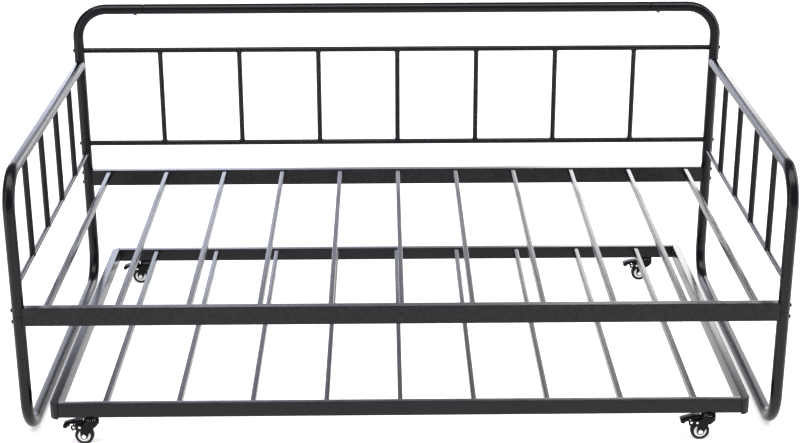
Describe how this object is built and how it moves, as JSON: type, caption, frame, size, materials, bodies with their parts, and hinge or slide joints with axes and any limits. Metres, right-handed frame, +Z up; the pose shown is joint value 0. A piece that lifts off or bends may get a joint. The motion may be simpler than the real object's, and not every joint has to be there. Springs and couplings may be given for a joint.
{
  "type": "trundle bed",
  "caption": "Tubular steel daybed with arm and back rails, a slatted seat deck and a flat slatted trundle on braked swivel casters underneath.",
  "frame": {"origin": "on the floor, under the middle of the whole outline", "axes": "+X along the bed's length, the front faces -Y, +Z up"},
  "size_m": [1.9712, 1.1304, 0.9001],
  "materials": {
    "black_powder_coat": "satin powder coat",
    "caster_black": "semi-gloss black pressed steel",
    "tyre_rubber": "smooth soft tread",
    "pale_core": "pale moulded plastic",
    "zinc_plate": "bright zinc plate"
  },
  "bodies": {
    "daybed": {"left_leg_frame": "black_powder_coat", "right_leg_frame": "black_powder_coat", "left_arm_frame": "black_powder_coat", "right_arm_frame": "black_powder_coat", "left_rear_post": "black_powder_coat", "right_rear_post": "black_powder_coat", "top_rail": "black_powder_coat", "back_panel": "black_powder_coat", "front_rail": "black_powder_coat", "rear_rail": "black_powder_coat", "seat_slat_1": "black_powder_coat", "seat_slat_2": "black_powder_coat", "seat_slat_3": "black_powder_coat", "seat_slat_4": "black_powder_coat", "seat_slat_5": "black_powder_coat", "seat_slat_6": "black_powder_coat", "seat_slat_7": "black_powder_coat", "seat_slat_8": "black_powder_coat", "seat_slat_9": "black_powder_coat", "seat_slat_10": "black_powder_coat", "seat_slat_11": "black_powder_coat"},
    "trundle": {"trundle_front_rail": "black_powder_coat", "trundle_rear_rail": "black_powder_coat", "trundle_left_rail": "black_powder_coat", "trundle_right_rail": "black_powder_coat", "trundle_slat_1": "black_powder_coat", "trundle_slat_2": "black_powder_coat", "trundle_slat_3": "black_powder_coat", "trundle_slat_4": "black_powder_coat", "trundle_slat_5": "black_powder_coat", "trundle_slat_6": "black_powder_coat", "trundle_slat_7": "black_powder_coat", "trundle_slat_8": "black_powder_coat", "trundle_slat_9": "black_powder_coat", "caster_front_left_stem": "zinc_plate", "caster_rear_left_stem": "zinc_plate", "caster_front_right_stem": "zinc_plate", "caster_rear_right_stem": "zinc_plate"},
    "caster_front_left_swivel": {"caster_front_left_fork": "caster_black", "caster_front_left_axle": "zinc_plate"},
    "caster_front_left_wheel": {"caster_front_left_wheel_core": "pale_core", "caster_front_left_tyre": "tyre_rubber"},
    "caster_front_left_pedal": {"caster_front_left_brake_pedal": "caster_black"},
    "caster_rear_left_swivel": {"caster_rear_left_fork": "caster_black", "caster_rear_left_axle": "zinc_plate"},
    "caster_rear_left_wheel": {"caster_rear_left_wheel_core": "pale_core", "caster_rear_left_tyre": "tyre_rubber"},
    "caster_rear_left_pedal": {"caster_rear_left_brake_pedal": "caster_black"},
    "caster_front_right_swivel": {"caster_front_right_fork": "caster_black", "caster_front_right_axle": "zinc_plate"},
    "caster_front_right_wheel": {"caster_front_right_wheel_core": "pale_core", "caster_front_right_tyre": "tyre_rubber"},
    "caster_front_right_pedal": {"caster_front_right_brake_pedal": "caster_black"},
    "caster_rear_right_swivel": {"caster_rear_right_fork": "caster_black", "caster_rear_right_axle": "zinc_plate"},
    "caster_rear_right_wheel": {"caster_rear_right_wheel_core": "pale_core", "caster_rear_right_tyre": "tyre_rubber"},
    "caster_rear_right_pedal": {"caster_rear_right_brake_pedal": "caster_black"}
  },
  "joints": [
    {"name": "trundle_roll_out", "type": "slide", "parent": "daybed", "child": "trundle", "axis": [0, -1, 0], "range_m": [-0.02, 1.1]},
    {"name": "caster_front_left_swivel_turn", "type": "hinge", "parent": "trundle", "child": "caster_front_left_swivel", "pos_m": [-0.801, -0.54525, 0.06], "axis": [0, 0, 1], "continuous": true},
    {"name": "caster_front_left_wheel_spin", "type": "hinge", "parent": "caster_front_left_swivel", "child": "caster_front_left_wheel", "pos_m": [-0.8207, -0.54525, 0.0245], "axis": [0, 1, 0], "continuous": true},
    {"name": "caster_front_left_brake_press", "type": "hinge", "parent": "caster_front_left_swivel", "child": "caster_front_left_pedal", "pos_m": [-0.8303, -0.54525, 0.051], "axis": [0, -1, 0], "range_deg": [0, 5]},
    {"name": "caster_rear_left_swivel_turn", "type": "hinge", "parent": "trundle", "child": "caster_rear_left_swivel", "pos_m": [-0.801, 0.52425, 0.06], "axis": [0, 0, 1], "continuous": true},
    {"name": "caster_rear_left_wheel_spin", "type": "hinge", "parent": "caster_rear_left_swivel", "child": "caster_rear_left_wheel", "pos_m": [-0.8207, 0.52425, 0.0245], "axis": [0, 1, 0], "continuous": true},
    {"name": "caster_rear_left_brake_press", "type": "hinge", "parent": "caster_rear_left_swivel", "child": "caster_rear_left_pedal", "pos_m": [-0.8303, 0.52425, 0.051], "axis": [0, -1, 0], "range_deg": [0, 5]},
    {"name": "caster_front_right_swivel_turn", "type": "hinge", "parent": "trundle", "child": "caster_front_right_swivel", "pos_m": [0.791, -0.54525, 0.06], "axis": [0, 0, 1], "continuous": true},
    {"name": "caster_front_right_wheel_spin", "type": "hinge", "parent": "caster_front_right_swivel", "child": "caster_front_right_wheel", "pos_m": [0.7713, -0.54525, 0.0245], "axis": [0, 1, 0], "continuous": true},
    {"name": "caster_front_right_brake_press", "type": "hinge", "parent": "caster_front_right_swivel", "child": "caster_front_right_pedal", "pos_m": [0.7617, -0.54525, 0.051], "axis": [0, -1, 0], "range_deg": [0, 5]},
    {"name": "caster_rear_right_swivel_turn", "type": "hinge", "parent": "trundle", "child": "caster_rear_right_swivel", "pos_m": [0.791, 0.52425, 0.06], "axis": [0, 0, 1], "continuous": true},
    {"name": "caster_rear_right_wheel_spin", "type": "hinge", "parent": "caster_rear_right_swivel", "child": "caster_rear_right_wheel", "pos_m": [0.7713, 0.52425, 0.0245], "axis": [0, 1, 0], "continuous": true},
    {"name": "caster_rear_right_brake_press", "type": "hinge", "parent": "caster_rear_right_swivel", "child": "caster_rear_right_pedal", "pos_m": [0.7617, 0.52425, 0.051], "axis": [0, -1, 0], "range_deg": [0, 5]}
  ]
}
